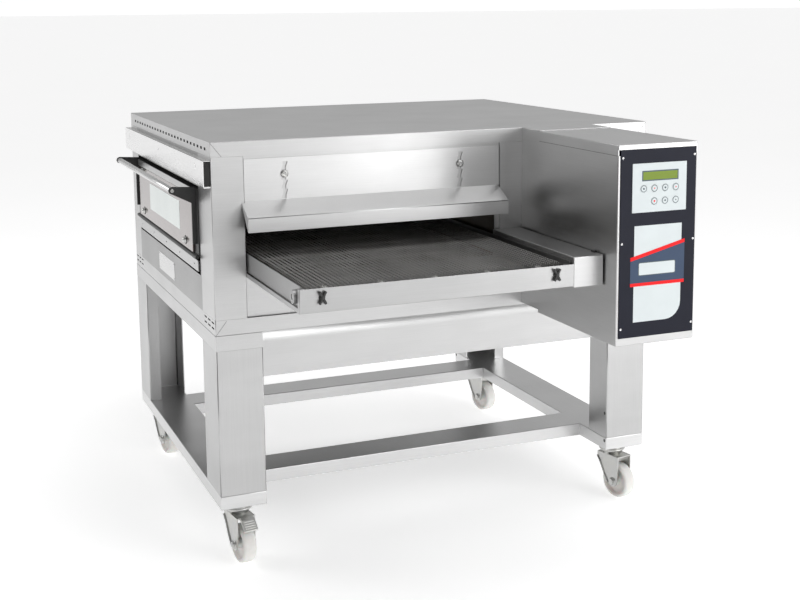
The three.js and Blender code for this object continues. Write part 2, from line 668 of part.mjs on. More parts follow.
const CASTERS = [
  ['front_left', CASTER_INSET.x, CASTER_INSET.y, 8],
  ['front_right', STAND.width - CASTER_INSET.x, CASTER_INSET.y, 12],
  ['rear_left', CASTER_INSET.x, STAND.depth - CASTER_INSET.y, 10],
  ['rear_right', STAND.width - CASTER_INSET.x, STAND.depth - CASTER_INSET.y, 12],
];
for (const [corner, x, y, degrees] of CASTERS) {
  const turn = THREE.MathUtils.degToRad(degrees);
  const fork = casterFork().rotateZ(turn);
  addPart(`caster_fork_${corner}`, fork.translate(x, y, 0), 'zinc');
  const wheel = casterWheel().rotateZ(turn);
  addPart(`caster_wheel_${corner}`, wheel.translate(x, y, 0), 'nylon');
}

// Brake pedal on the front caster nearest the door side.
function brakePedal() {
  const outline = [[-54, 124], [-54, 131], [-66, 126], [-88, 104], [-86, 100], [-64, 119]];
  const plate = prism(outline, 'x', -19, 19);
  const turn = THREE.MathUtils.degToRad(CASTERS[0][3]);
  return plate.rotateZ(turn).translate(CASTER_INSET.x, CASTER_INSET.y, 0);
}
addPart('brake_pedal', brakePedal(), 'zinc');

export default group;
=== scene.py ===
"""Conveyor pizza oven on a wheeled stand. Metres, Z up, floor at Z 0, the belt runs along Y."""

import json
import math

import bmesh
import bpy
from mathutils import Matrix, Vector

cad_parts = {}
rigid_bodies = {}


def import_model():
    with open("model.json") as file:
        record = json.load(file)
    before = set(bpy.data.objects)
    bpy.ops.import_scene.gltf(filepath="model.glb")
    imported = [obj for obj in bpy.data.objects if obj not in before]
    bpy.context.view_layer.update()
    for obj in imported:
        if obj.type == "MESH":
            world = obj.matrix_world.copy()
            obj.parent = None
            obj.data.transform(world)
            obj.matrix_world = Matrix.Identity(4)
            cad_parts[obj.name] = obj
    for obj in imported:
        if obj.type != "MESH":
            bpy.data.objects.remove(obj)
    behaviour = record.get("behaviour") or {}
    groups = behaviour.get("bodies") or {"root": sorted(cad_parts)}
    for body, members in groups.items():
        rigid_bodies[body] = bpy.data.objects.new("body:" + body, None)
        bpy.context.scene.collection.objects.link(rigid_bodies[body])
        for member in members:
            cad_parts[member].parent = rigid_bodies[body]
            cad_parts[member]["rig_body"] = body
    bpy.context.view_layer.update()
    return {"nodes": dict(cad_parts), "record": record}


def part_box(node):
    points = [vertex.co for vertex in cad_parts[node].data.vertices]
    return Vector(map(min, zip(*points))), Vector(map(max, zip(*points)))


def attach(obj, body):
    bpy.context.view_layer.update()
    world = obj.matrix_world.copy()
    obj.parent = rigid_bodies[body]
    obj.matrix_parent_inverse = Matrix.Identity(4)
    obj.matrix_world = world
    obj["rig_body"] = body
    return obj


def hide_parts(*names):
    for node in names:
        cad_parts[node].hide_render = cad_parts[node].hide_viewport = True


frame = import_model()
nodes = frame["nodes"]
MM = 0.001

# Studio: a wide white floor, a surround that is bright to the front right and dim to the near left, and soft
# lamps. The camera stands in front of the outlet end, on the door side, a little above the oven's top.
camera_place = Vector((-1.3395, -3.5734, 1.4271))
camera_turn, camera_tilt, camera_roll = (math.radians(a) for a in (22.06, 8.62, 0.58))
camera = bpy.data.objects.new("camera", bpy.data.cameras.new("camera"))
bpy.context.scene.collection.objects.link(camera)
bpy.context.scene.camera = camera
camera.data.sensor_width = 36
camera.data.lens = 57.86
camera.data.shift_y = -0.12
camera.matrix_world = (
    Matrix.Translation(camera_place)
    @ Matrix.Rotation(-camera_turn, 4, "Z")
    @ Matrix.Rotation(math.pi / 2 - camera_tilt, 4, "X")
    @ Matrix.Rotation(-camera_roll, 4, "Z")
)
bpy.context.scene.view_settings.view_transform = "Standard"


class Value:
    """A number that varies over a surface. Sums on it add Math nodes to the tree that it belongs to."""

    def __init__(self, tree, socket):
        self.tree = tree
        self.socket = socket

    def sum(self, operation, first, second):
        return self.tree.node("ShaderNodeMath", {"operation": operation}, {0: first, 1: second})

    def __add__(self, other):
        return self.sum("ADD", self, other)

    __radd__ = __add__

    def __sub__(self, other):
        return self.sum("SUBTRACT", self, other)

    def __rsub__(self, other):
        return self.sum("SUBTRACT", other, self)

    def __mul__(self, other):
        return self.sum("MULTIPLY", self, other)

    __rmul__ = __mul__

    def above_zero(self):
        return self.sum("MAXIMUM", self, 0)

    def __gt__(self, other):
        return self.sum("GREATER_THAN", self, other)

    def __abs__(self):
        return self.sum("ABSOLUTE", self, 0)


class Tree:
    """A node tree. node() adds any node: its settings come first, then the values or links of its sockets."""

    def __init__(self, owner):
        owner.use_nodes = True
        self.made = owner.node_tree.nodes
        self.links = owner.node_tree.links

    def node(self, kind, settings=None, inputs=None, output=0):
        new = self.made.new(kind)
        for name, setting in (settings or {}).items():
            if name == "stops":
                for stop, (place, colour) in zip(new.color_ramp.elements, setting):
                    stop.position = place
                    stop.color = (*colour, 1)
            else:
                setattr(new, name, setting)
        for name, value in (inputs or {}).items():
            self.feed(new.inputs[name], value)
        return Value(self, new.outputs[output])

    def feed(self, socket, value):
        if isinstance(value, Value):
            self.links.new(value.socket, socket)
        else:
            socket.default_value = value

    def clouds(self, stretch, detail=2.0):
        """Noise from 0 to 1, with its own number of cycles per metre along X, Y and Z."""
        place = self.node("ShaderNodeTexCoord", output="Object")
        scaled = self.node("ShaderNodeMapping", {}, {"Vector": place, "Scale": stretch})
        return self.node("ShaderNodeTexNoise", {}, {"Vector": scaled, "Scale": 1.0, "Detail": detail})

    def between(self, share, low, high):
        """A colour from low to high by share."""
        sockets = {0: share, 6: (*low, 1), 7: (*high, 1)}
        return self.node("ShaderNodeMix", {"data_type": "RGBA"}, sockets, output=2)

    def facing(self, axis):
        """1 on faces that look along that axis, 0 on the others."""
        normal = self.node("ShaderNodeNewGeometry", output="Normal")
        part = self.node("ShaderNodeSeparateXYZ", {}, {0: normal}, output=axis)
        return abs(part) > 0.7


def surface(name, base, roughness, bump=None, bump_depth=0.0001, **constants):
    """A material. base, roughness and bump may vary over the surface; the constants are set on the shader."""
    material = bpy.data.materials.new(name)
    tree = Tree(material)
    shader = tree.made["Principled BSDF"]
    for socket, constant in constants.items():
        shader.inputs[socket.replace("_", " ")].default_value = constant
    varying = {"Base Color": base(tree), "Roughness": roughness(tree)}
    if bump:
        height = {"Strength": 1.0, "Distance": bump_depth, "Height": bump(tree)}
        varying["Normal"] = tree.node("ShaderNodeBump", {}, height)
    for socket, value in varying.items():
        tree.feed(shader.inputs[socket], value)
    return material


def grey(tone):
    return (tone, tone, tone)


floor_shape = bmesh.new()
bmesh.ops.create_grid(floor_shape, x_segments=8, y_segments=8, size=600)
floor_mesh = bpy.data.meshes.new("studio_floor")
floor_shape.to_mesh(floor_mesh)
floor = bpy.data.objects.new("studio_floor", floor_mesh)
bpy.context.scene.collection.objects.link(floor)
floor_mesh.materials.append(
    surface(
        "studio_floor",
        lambda t: t.between(t.clouds((0.6, 0.6, 0.6)), grey(0.93), grey(0.97)),
        lambda t: 0.8 + 0.1 * t.clouds((3, 3, 3)),
        Emission_Color=(1, 1, 1, 1),
        Emission_Strength=0.44,
    )
)

world = bpy.data.worlds.new("studio")
bpy.context.scene.world = world
sky = Tree(world)
look = sky.node("ShaderNodeTexCoord", output="Generated")
sideways = sky.node("ShaderNodeSeparateXYZ", {}, {0: look}, output="X")
lengthways = sky.node("ShaderNodeSeparateXYZ", {}, {0: look}, output="Y")
upwards = sky.node("ShaderNodeSeparateXYZ", {}, {0: look}, output="Z")
front_right = (0.5 * sideways - 0.87 * lengthways).above_zero()
near_left = (-0.83 * sideways - 0.55 * lengthways).above_zero()
haze = (1 - 12 * abs(upwards)).above_zero()
glow = 0.6 + 0.5 * front_right - 0.5 * near_left - 0.15 * upwards.above_zero() + 0.45 * haze
background = sky.made["Background"]
sky.feed(background.inputs["Color"], (1.0, 1.0, 1.0, 1.0))
sky.feed(background.inputs["Strength"], glow)


def soft_lamp(name, place, aim, width, height, watts):
    lamp = bpy.data.objects.new(name, bpy.data.lights.new(name, "AREA"))
    bpy.context.scene.collection.objects.link(lamp)
    lamp.data.shape = "RECTANGLE"
    lamp.data.size = width
    lamp.data.size_y = height
    lamp.data.energy = watts
    lamp.location = place
    lamp.rotation_euler = (Vector(aim) - Vector(place)).to_track_quat("-Z", "Y").to_euler()


soft_lamp("lamp_front_right", (2.6, -4.2, 1.6), (0.2, 0, 0.6), 2.6, 2.4, 60)
soft_lamp("lamp_rear_left", (-4.0, 2.0, 2.4), (-0.4, 0, 0.7), 2.5, 2.0, 45)
soft_lamp("lamp_above", (0.6, -0.6, 4.2), (0, 0, 0.8), 3.0, 3.0, 40)

# Casing: the base pan, the lid with its folded bands, the two recessed end sheets and the side sheets.
# All are 2 mm satin stainless sheet, brushed along its length, folded on a press brake and spot welded.


def satin_steel(name, dark, light, roughness, lay="folded"):
    """Brushed sheet. The grain lies level on a folded piece and up and down on an upright one."""
    level_y, level_x, upright = (1100, 9, 1100), (9, 1100, 1100), (1100, 1100, 9)

    def grain(t):
        if lay == "upright":
            return t.clouds(upright)
        faces_end = t.facing("Y")
        return t.clouds(level_x) * faces_end + t.clouds(level_y) * (1 - faces_end)

    def tone(t):
        wiped = t.clouds((5, 5, 16), detail=4)
        share = 0.45 * grain(t) + 0.4 * wiped + 0.15 * t.clouds((1.5, 1.5, 1.5))
        return t.between(share, dark, light)

    def shine(t):
        smudges = t.clouds((7, 7, 7), detail=5)
        return roughness + 0.10 * (grain(t) - 0.5) + 0.16 * (smudges - 0.5)

    return surface(name, tone, shine, grain, 0.00006, Metallic=1.0)


def from_cad(node, bend, flat_width=6 * MM, segments=3):
    """A sheet piece's own mesh: its CAD solid with whole flats and with the bends between them rounded."""
    shape = bmesh.new()
    shape.from_mesh(nodes[node].data)
    bmesh.ops.remove_doubles(shape, verts=shape.verts, dist=0.01 * MM)
    whole = {"verts": shape.verts, "edges": shape.edges}
    bmesh.ops.dissolve_limit(shape, angle_limit=math.radians(1), **whole)
    # A ring-shaped flat is cut into convex faces, so that none of them spans the opening inside it.
    bmesh.ops.connect_verts_concave(shape, faces=shape.faces)

    def width(face):
        return face.calc_area() / max(edge.calc_length() for edge in face.edges)

    folds = [
        edge
        for edge in shape.edges
        if len(edge.link_faces) == 2
        and edge.calc_face_angle() > math.radians(20)
        and min(width(face) for face in edge.link_faces) > flat_width
    ]
    ease(shape, folds, bend, segments)
    return shape


def ease(shape, edges, radius, segments=2):
    """Rounds edges and shades the rounded strips smooth."""
    rounding = {"segments": segments, "profile": 0.5, "affect": "EDGES", "material": -1}
    made = bmesh.ops.bevel(shape, geom=edges, offset=radius, clamp_overlap=True, **rounding)
    for face in made["faces"]:
        face.smooth = True


slot_of_node = {part["node"]: part["material_slot"] for part in frame["record"]["subparts"]}


def fit(name, shape, material, instead_of=None, body=None, slot=None):
    """Makes a piece of a finished mesh and fixes it to the body of the CAD node that it stands for."""
    mesh = bpy.data.meshes.new(name)
    shape.to_mesh(mesh)
    shape.free()
    mesh.materials.append(material)
    piece = bpy.data.objects.new(name, mesh)
    bpy.context.scene.collection.objects.link(piece)
    if instead_of:
        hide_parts(instead_of)
        body = body or nodes[instead_of]["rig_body"]
        slot = slot or slot_of_node[instead_of]
    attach(piece, body)
    return piece


casing_steel = satin_steel("casing_steel", grey(0.42), grey(0.61), 0.34)
# The side sheets and the conveyor rails take a darker copy of the same satin steel: painted shade.
shaded_side_steel = satin_steel("shaded_side_steel", grey(0.28), grey(0.41), 0.38)
casing_bend = 1.6 * MM
for piece_name, node_name in {
    "base_pan": "base_tray",
    "cover_lid": "top_cover",
    "outlet_end_sheet": "outlet_end_panel",
    "inlet_end_sheet": "inlet_end_panel",
    "door_side_sheet": "door_side_panel",
    "drive_side_sheet": "drive_side_panel",
}.items():
    sheet = shaded_side_steel if "side" in piece_name else casing_steel
    fit(piece_name, from_cad(node_name, casing_bend), sheet, node_name)

# Casing trims: the ground weld lines where the bands are mitred at their corners, and a blank riveted plate
# low on the door side.


def slab(shape, low, high):
    """Adds a block between two corners."""
    low, high = Vector(low), Vector(high)
    place = Matrix.Translation((low + high) / 2) @ Matrix.Diagonal((*(high - low), 1))
    return bmesh.ops.create_cube(shape, size=1, matrix=place)["verts"]


def aim(centre, out):
    """The matrix that carries the origin to centre and the Z axis to out."""
    return Matrix.Translation(centre) @ Vector(out).to_track_quat("Z", "Y").to_matrix().to_4x4()


def round_bar(shape, start, end, radius, sides=24):
    """Adds a round bar between two points."""
    start, end = Vector(start), Vector(end)
    place = aim((start + end) / 2, end - start)
    sizes = {"segments": sides, "radius1": radius, "radius2": radius, "depth": (end - start).length}
    bmesh.ops.create_cone(shape, cap_ends=True, matrix=place, **sizes)


def turned(shape, profile, centre, out, steps=32, closed=False):
    """Adds a round piece: pairs of radius and height, in millimetres, spun about the axis out."""
    before = set(shape.verts)
    points = [shape.verts.new((radius * MM, 0, height * MM)) for radius, height in profile]
    follow = points[1:] + points[:1] if closed else points[1:]
    edges = [shape.edges.new(pair) for pair in zip(points, follow)]
    full = {"cent": (0, 0, 0), "axis": (0, 0, 1), "angle": math.tau, "steps": steps, "use_merge": True}
    bmesh.ops.spin(shape, geom=points + edges, **full)
    bmesh.ops.remove_doubles(shape, verts=[v for v in shape.verts if v not in before], dist=0.001 * MM)
    fresh = [v for v in shape.verts if v not in before]
    bmesh.ops.transform(shape, matrix=aim(centre, out), verts=fresh)
    faces = {face for vert in fresh for face in vert.link_faces}
    bmesh.ops.recalc_face_normals(shape, faces=list(faces))
    for face in faces:
        face.smooth = True
    return fresh


def screw(shape, centre, out, radius):
    """A domed screw head with a round socket. The profile's radii are shares of the head's radius."""
    socket = [(0, 0.5), (0.34, 0.5), (0.34, 1.5)]
    dome = [(0.7, 1.45), (0.93, 0.9), (1, 0.1), (1, -0.6), (0, -0.6)]
    profile = [(share * radius, height) for share, height in socket + dome]
    turned(shape, profile, centre, out, steps=20)


# Near-black for the sheets behind the vents: painted shade.
vent_shade_black = surface(
    "vent_painted_shade",
    lambda t: t.between(t.clouds((700, 700, 700)), grey(0.006), grey(0.02)),
    lambda t: 0.85 + 0.1 * t.clouds((50, 50, 50)),
)
weld_grey = surface(
    "weld_line",
    lambda t: t.between(t.clouds((90, 90, 90)), grey(0.16), grey(0.3)),
    lambda t: 0.5 + 0.2 * t.clouds((200, 200, 200)),
    Metallic=1.0,
)
weld_radius = 0.55 * MM
weld_slant = 0.75
welds = bmesh.new()
lid_low, lid_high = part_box("top_cover")
pan_low, pan_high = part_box("base_tray")
for low, high in ((lid_low, lid_high), (pan_low, pan_high)):
    band = high.z - low.z
    for end_y, inward in ((low.y, 1), (high.y, -1)):
        for side_x, across in ((low.x, 1), (high.x, -1)):
            outer_z, inner_z = low.z + 1 * MM, high.z - 2 * MM
            if high == lid_high:
                outer_z, inner_z = inner_z, outer_z
            outer = Vector((side_x + across * 0.8 * MM, end_y, outer_z))
            inner = Vector((side_x + across * weld_slant * band, end_y, inner_z))
            round_bar(welds, outer, inner, weld_radius, 6)
fit("mitre_welds", welds, weld_grey, body="oven", slot="stainless")

# Painted shade: near-black sheets just inside the vents in the door-side bands of the lid and of the pan's
# two ends.
vent_shade_sheets = bmesh.new()
shade_sheet_x = (lid_low.x + 2.2 * MM, lid_low.x + 2.8 * MM)
vents_length = (lid_high.y - lid_low.y) / MM
for near, far, low_z, high_z in (
    (36, vents_length - 36, lid_low.z + 10 * MM, lid_low.z + 25 * MM),
    (36, 120, pan_low.z + 3 * MM, pan_high.z + 38 * MM),
    (vents_length - 120, vents_length - 36, pan_low.z + 3 * MM, pan_high.z + 38 * MM),
):
    shade_sheet_low = (shade_sheet_x[0], lid_low.y + near * MM, low_z)
    slab(vent_shade_sheets, shade_sheet_low, (shade_sheet_x[1], lid_low.y + far * MM, high_z))
fit("vent_shade_sheets", vent_shade_sheets, vent_shade_black, body="oven", slot="insulation")

plate_steel = satin_steel("plate_steel", grey(0.52), grey(0.70), 0.28)
plate = bmesh.new()
door_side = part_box("door_side_panel")[0]
plate_low = door_side + Vector((-0.6, 330.5, 13.7)) * MM
plate_high = door_side + Vector((0, 538.5, 65.7)) * MM
slab(plate, plate_low, plate_high)
ease(plate, plate.edges, 0.25 * MM, 1)
rivet_inset = 5 * MM
for y in (plate_low.y + rivet_inset, plate_high.y - rivet_inset):
    for z in (plate_low.z + rivet_inset, plate_high.z - rivet_inset):
        screw(plate, (plate_low.x, y, z), (-1, 0, 0), 1.8)
fit("blank_plate", plate, plate_steel, body="oven", slot="stainless")

# Baking chamber: the liner with the door's throat, and the air panels above and below the belt, whose long
# slots have pressed lips. Thin stainless that the heat has browned in patches.


def baked_steel(t):
    """Straw and blue-brown heat tints over dull steel."""
    tint = t.clouds((4, 4, 7), detail=4)
    stops = [(0.3, (0.30, 0.29, 0.28)), (0.75, (0.21, 0.16, 0.11))]
    return t.node("ShaderNodeValToRGB", {"stops": stops}, {0: tint})


liner_steel = surface(
    "liner_steel",
    baked_steel,
    lambda t: 0.38 + 0.25 * t.clouds((9, 9, 9), detail=4),
    lambda t: t.clouds((500, 12, 500)),
    0.00008,
    Metallic=1.0,
)
fit("chamber_shell", from_cad("chamber_liner", 1.5 * MM), liner_steel, "chamber_liner")
lip_thick = 1.4 * MM
for level in ("upper", "lower"):
    low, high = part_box(f"{level}_air_panel")
    panel = from_cad(f"{level}_air_panel", 1.5 * MM)
    lip_up = 1 if level == "lower" else -1
    face_z = high.z if lip_up > 0 else low.z
    lip_z = sorted((face_z, face_z + lip_up * 4 * MM))
    for i in range(8):
        slot_y = low.y + (60 + i * 108) * MM
        for edge_y in (slot_y - lip_thick, slot_y + 14 * MM):
            lip_low = (low.x + 69 * MM, edge_y, lip_z[0])
            slab(panel, lip_low, (high.x - 69 * MM, edge_y + lip_thick, lip_z[1]))
    fit(f"{level}_air_sheet", panel, liner_steel, f"{level}_air_panel")

# Heating element: one mineral-insulated steel tube bent back and forth over the upper air panel.
# The sheath is oxidised dark by its own heat.
element_metal = surface(
    "element_sheath",
    lambda t: t.between(t.clouds((40, 40, 40), detail=4), (0.07, 0.065, 0.07), (0.2, 0.17, 0.15)),
    lambda t: 0.45 + 0.25 * t.clouds((90, 90, 90)),
    lambda t: t.clouds((700, 700, 700)),
    0.0001,
    Metallic=0.8,
)
element = bmesh.new()
element_low, element_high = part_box("heating_element")
tube = 4.6 * MM
element_z = (element_low.z + element_high.z) / 2
run_x = (element_low.x + 5 * MM, element_high.x - 5 * MM)
run_pitch = (element_high.y - element_low.y - 10 * MM) / 4
for i in range(5):
    run_y = element_low.y + 5 * MM + i * run_pitch
    round_bar(element, (run_x[0], run_y, element_z), (run_x[1], run_y, element_z), tube, 12)
    if i < 4:
        side = run_x[1] if i % 2 == 0 else run_x[0]
        round_bar(element, (side, run_y, element_z), (side, run_y + run_pitch, element_z), tube, 12)
for face in element.faces:
    face.smooth = len(face.verts) == 4
fit("element_tube", element, element_metal, "heating_element")

# Circulation fan: a zinc-plated wheel with sixteen tilted blades on the shaft of a finned motor.


def plated(name, cool, warm, roughness):
    """Zinc plate: cool grey with a faint straw bloom and fine crystals."""
    return surface(
        name,
        lambda t: t.between(t.clouds((30, 30, 30), detail=5), cool, warm),
        lambda t: roughness + 0.22 * (t.clouds((160, 160, 160), detail=3) - 0.5),
        lambda t: t.clouds((900, 900, 900)),
        0.00005,
        Metallic=1.0,
    )


zinc = plated("zinc_plate", (0.50, 0.51, 0.53), (0.66, 0.65, 0.60), 0.32)
fan = bmesh.new()
fan_low, fan_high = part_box("fan_wheel")
fan_centre = Vector((fan_low.x, (fan_low.y + fan_high.y) / 2, (fan_low.z + fan_high.z) / 2))
hub = [(6.6, 0), (30, 0), (30, 6), (95, 6), (95, 8), (14, 8), (14, 44), (6.6, 44)]
turned(fan, hub, fan_centre, (1, 0, 0), 48, closed=True)
blade_count = 16
to_blade = Matrix.Translation((0, 0, 76 * MM))
tilt = to_blade @ Matrix.Rotation(0.5, 4, "X") @ to_blade.inverted()
for i in range(blade_count):
    blade = slab(fan, (7 * MM, -0.9 * MM, 62 * MM), (43 * MM, 0.9 * MM, 91 * MM))
    place = Matrix.Translation(fan_centre) @ Matrix.Rotation(i * math.tau / blade_count, 4, "X")
    bmesh.ops.transform(fan, matrix=place @ tilt, verts=blade)
fit("fan_rotor", fan, zinc, "fan_wheel")

cast_grey = surface(
    "cast_housing",
    lambda t: t.between(t.clouds((60, 60, 60), detail=5), (0.10, 0.11, 0.12), (0.19, 0.20, 0.21)),
    lambda t: 0.5 + 0.2 * t.clouds((120, 120, 120)),
    lambda t: t.clouds((350, 350, 350), detail=4),
    0.0004,
    Metallic=0.6,
)
motor_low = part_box("fan_motor")[0]


def on_fan_axis(x):
    return Vector((x, fan_centre.y, fan_centre.z))


def edges_of(verts):
    """The edges that meet at those corners."""
    return list({edge for vert in verts for edge in vert.link_edges})


motor = bmesh.new()
can_start = motor_low.x + 87 * MM
round_bar(motor, on_fan_axis(motor_low.x), on_fan_axis(can_start + 2 * MM), 6 * MM, 20)
can = [(0, 0), (66, 0), (70, 4), (70, 20), (64, 24), (64, 128), (70, 132), (70, 138), (40, 149), (0, 150)]
turned(motor, can, on_fan_axis(can_start), (1, 0, 0), 40)
fin_count = 24
for i in range(fin_count):
    fin = slab(motor, (26 * MM, -1.2 * MM, 60 * MM), (126 * MM, 1.2 * MM, 69.5 * MM))
    place = Matrix.Translation(on_fan_axis(can_start)) @ Matrix.Rotation(i * math.tau / fin_count, 4, "X")
    bmesh.ops.transform(motor, matrix=place, verts=fin)
foot = slab(
    motor,
    (can_start, fan_centre.y - 90 * MM, motor_low.z),
    (can_start + 12 * MM, fan_centre.y + 90 * MM, fan_centre.z - 20 * MM),
)
ease(motor, edges_of(foot), 1.5 * MM)
fit("fan_motor_body", motor, cast_grey, "fan_motor")

# Gear motor: a cast gearbox with its motor behind, bolted to the base pan, which drives the chain.
gear = bmesh.new()
gear_low, gear_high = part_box("gear_motor")
box_low = Vector((gear_low.x, gear_high.y - 120 * MM, gear_high.z - 95 * MM))
gearbox = slab(gear, box_low, (gear_low.x + 100 * MM, gear_high.y, gear_high.z))
ease(gear, edges_of(gearbox), 6 * MM, 3)
can_centre = (gear_low.x + 98 * MM, box_low.y + 60 * MM, box_low.z + 55 * MM)
can = [(0, 0), (36, 0), (38, 3), (38, 12), (34, 15), (34, 140), (38, 144), (38, 156), (30, 161), (0, 162)]
turned(gear, can, can_centre, (1, 0, 0), 32)
bracket = slab(
    gear,
    (gear_low.x + 5 * MM, box_low.y + 10 * MM, gear_low.z),
    (gear_low.x + 95 * MM, gear_high.y - 10 * MM, box_low.z + 4 * MM),
)
ease(gear, edges_of(bracket), 3 * MM)
for dy in (16 * MM, 104 * MM):
    for dz in (14 * MM, 81 * MM):
        screw(gear, box_low + Vector((0, dy, dz)), (-1, 0, 0), 5)
fit("gear_motor_body", gear, cast_grey, "gear_motor")

# Heat shield: a stand-off strip of polished sheet over the door, on an insulating batten whose near-black is
# painted shade.
# Its top edge is turned in to the wall. Two pressed dimples take its fixings; a small screw sits between.
# The strip is polished, so it is less rough; its lighter copy of the satin steel is painted light.
lit_shield_steel = satin_steel("lit_shield_steel", grey(0.74), grey(0.92), 0.26)
shield = from_cad("heat_shield", 0.8 * MM)
shield_low, shield_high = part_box("heat_shield")
dimple = [(0, -1.2), (4.5, -1.0), (6.5, 0.2), (8.5, 0.7), (10, 0.1), (10, -1.9), (0, -1.9)]
for y in (shield_low.y + 85 * MM, shield_high.y - 77 * MM):
    turned(shield, dimple, (shield_low.x, y, shield_low.z + 44.5 * MM), (-1, 0, 0), 28)
middle_screw = shield_low + Vector((0, 531, 46.5)) * MM
screw(shield, middle_screw, (-1, 0, 0), 2.6)
slab(shield, (shield_low.x + 1 * MM, shield_low.y, shield_high.z - 1.2 * MM), shield_high)
fit("shield_strip", shield, lit_shield_steel, "heat_shield")
# The batten's near-black colour is painted shade for the gap between the shield and the wall.
gap_shade_black = surface(
    "gap_shade_black",
    lambda t: t.between(t.clouds((400, 400, 400), detail=4), grey(0.012), grey(0.04)),
    lambda t: 0.8 + 0.15 * t.clouds((80, 80, 80)),
    lambda t: t.clouds((900, 300, 900), detail=4),
    0.0006,
)
fit("shield_batten", from_cad("shield_spacer", 1 * MM), gap_shade_black, "shield_spacer")

# Door sill: a short stainless strip screwed under the door, which keeps crumbs off the panel.
sill_low, sill_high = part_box("door_sill")
sill = from_cad("door_sill", 0.8 * MM, 1 * MM)
sill_screw_pitch = (sill_high.y - sill_low.y - 80 * MM) / 4
for i in range(5):
    screw_y = sill_low.y + 40 * MM + i * sill_screw_pitch
    screw(sill, (sill_low.x, screw_y, (sill_low.z + sill_high.z) / 2), (-1, 0, 0), 2.4)
fit("sill_strip", sill, casing_steel, "door_sill")

# Door: a black powder-coated frame that drops down on a bottom hinge. Two bent side arms carry the handle.


def powder_coat(name, dark, light):
    """Black powder coat: a fine orange-peel skin, dusty here and there."""
    return surface(
        name,
        lambda t: t.between(t.clouds((25, 25, 25), detail=5), grey(dark), grey(light)),
        lambda t: 0.34 + 0.25 * t.clouds((14, 14, 14), detail=4),
        lambda t: t.clouds((450, 450, 450)),
        0.00018,
    )


black_paint = powder_coat("black_paint", 0.014, 0.035)
door_low, door_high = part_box("door_frame")
frame_shape = from_cad("door_frame", 1.0 * MM, 2.5 * MM, 2)
fit("door_frame_black", frame_shape, black_paint, "door_frame")

# Door glass: a bronze-coated pane, mirror-like by day, with a clear viewing window let into its middle.
bronze_glass = surface(
    "bronze_glass",
    lambda t: t.between(t.clouds((3, 3, 8), detail=3), (0.125, 0.092, 0.086), (0.21, 0.165, 0.158)),
    lambda t: 0.07 + 0.12 * t.clouds((10, 10, 10), detail=5),
    Metallic=0.8,
    Coat_Weight=0.6,
    Coat_Roughness=0.03,
)
fit("door_pane", from_cad("door_glass", 0.8 * MM, 1 * MM), bronze_glass, "door_glass")
# The viewing window's pale greenish tone, with darker bands running up and down, is painted reflection.
window_reflection_glass = surface(
    "window_reflection_glass",
    lambda t: t.between(t.clouds((2, 9, 3), detail=3), (0.52, 0.58, 0.56), (0.72, 0.77, 0.75)),
    lambda t: 0.08 + 0.1 * t.clouds((12, 12, 12), detail=4),
    Metallic=0.75,
    Coat_Weight=0.5,
    Coat_Roughness=0.03,
)
glass_low, glass_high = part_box("door_glass")
window_low = glass_low + Vector((-0.5, 146, 37)) * MM
window_high = glass_low + Vector((2, 545, 116)) * MM
window = bmesh.new()
slab(window, window_low, window_high)
ease(window, window.edges, 0.35 * MM, 1)
fit("door_window", window, window_reflection_glass, body="door", slot="tinted_glass")
rail_steel = satin_steel("rail_steel", grey(0.40), grey(0.58), 0.3)
top_rail = bmesh.new()
rail_front, rail_back = glass_low.x - 1.5 * MM, glass_low.x + 1.5 * MM
rail_z = (glass_high.z + 1 * MM, glass_high.z + 19 * MM)
slab(top_rail, (rail_front, glass_low.y, rail_z[0]), (rail_back, glass_high.y, rail_z[1]))
ease(top_rail, top_rail.edges, 0.5 * MM, 2)
fit("door_top_rail", top_rail, rail_steel, body="door", slot="stainless")
fixing_y = (glass_low.y + 81 * MM, glass_high.y - 72 * MM)
fixing_z = (glass_low.z + 20 * MM, glass_high.z - 9 * MM)
washers = bmesh.new()
washer = [(0, 0.9), (11.5, 0.9), (12, 0.4), (12, 0), (0, 0)]
for y in fixing_y:
    for z in fixing_z:
        turned(washers, washer, (glass_low.x, y, z), (-1, 0, 0), 28)
fit("standoff_washers", washers, black_paint, body="door", slot="black_paint")

standoffs = bmesh.new()
cap_nut = [(0, 7), (2.4, 7), (2.4, 9), (5, 8.8), (7.2, 7), (8.2, 4), (8.2, 1), (9, 0.9), (9, 0), (0, 0)]
for y in fixing_y:
    for z in fixing_z:
        turned(standoffs, cap_nut, (glass_low.x, y, z), (-1, 0, 0), 24)
frame_screw_pitch = (door_high.y - door_low.y - 120 * MM) / 6
for i in range(7):
    screw_y = door_low.y + 60 * MM + i * frame_screw_pitch
    screw(standoffs, (door_low.x + 72.2 * MM, screw_y, glass_low.z - 4.5 * MM), (-1, 0, 0), 2.2)
fit("door_screws", standoffs, zinc, body="door", slot="zinc")

# Door handle: a 16 mm round bar of satin steel, held between the arms by a cap screw at each end.
handle_steel = satin_steel("handle_steel", grey(0.52), grey(0.7), 0.25)
handle = bmesh.new()
bar_low, bar_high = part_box("door_handle")
bar_x, bar_z = (bar_low.x + bar_high.x) / 2, (bar_low.z + bar_high.z) / 2
bar_length = (bar_high.y - bar_low.y) / MM
bar_profile = [(0, 0), (6.8, 0), (8, 1.2), (8, bar_length - 1.2), (6.8, bar_length), (0, bar_length)]
turned(handle, bar_profile, (bar_x, bar_low.y, bar_z), (0, 1, 0), 40)
fit("handle_bar", handle, handle_steel, "door_handle")
handle_screws = bmesh.new()
for y, out in ((bar_low.y - 6.3 * MM, -1), (bar_high.y + 6.3 * MM, 1)):
    screw(handle_screws, (bar_x, y, bar_z), (0, out, 0), 5)
fit("handle_screws", handle_screws, zinc, body="door", slot="zinc")

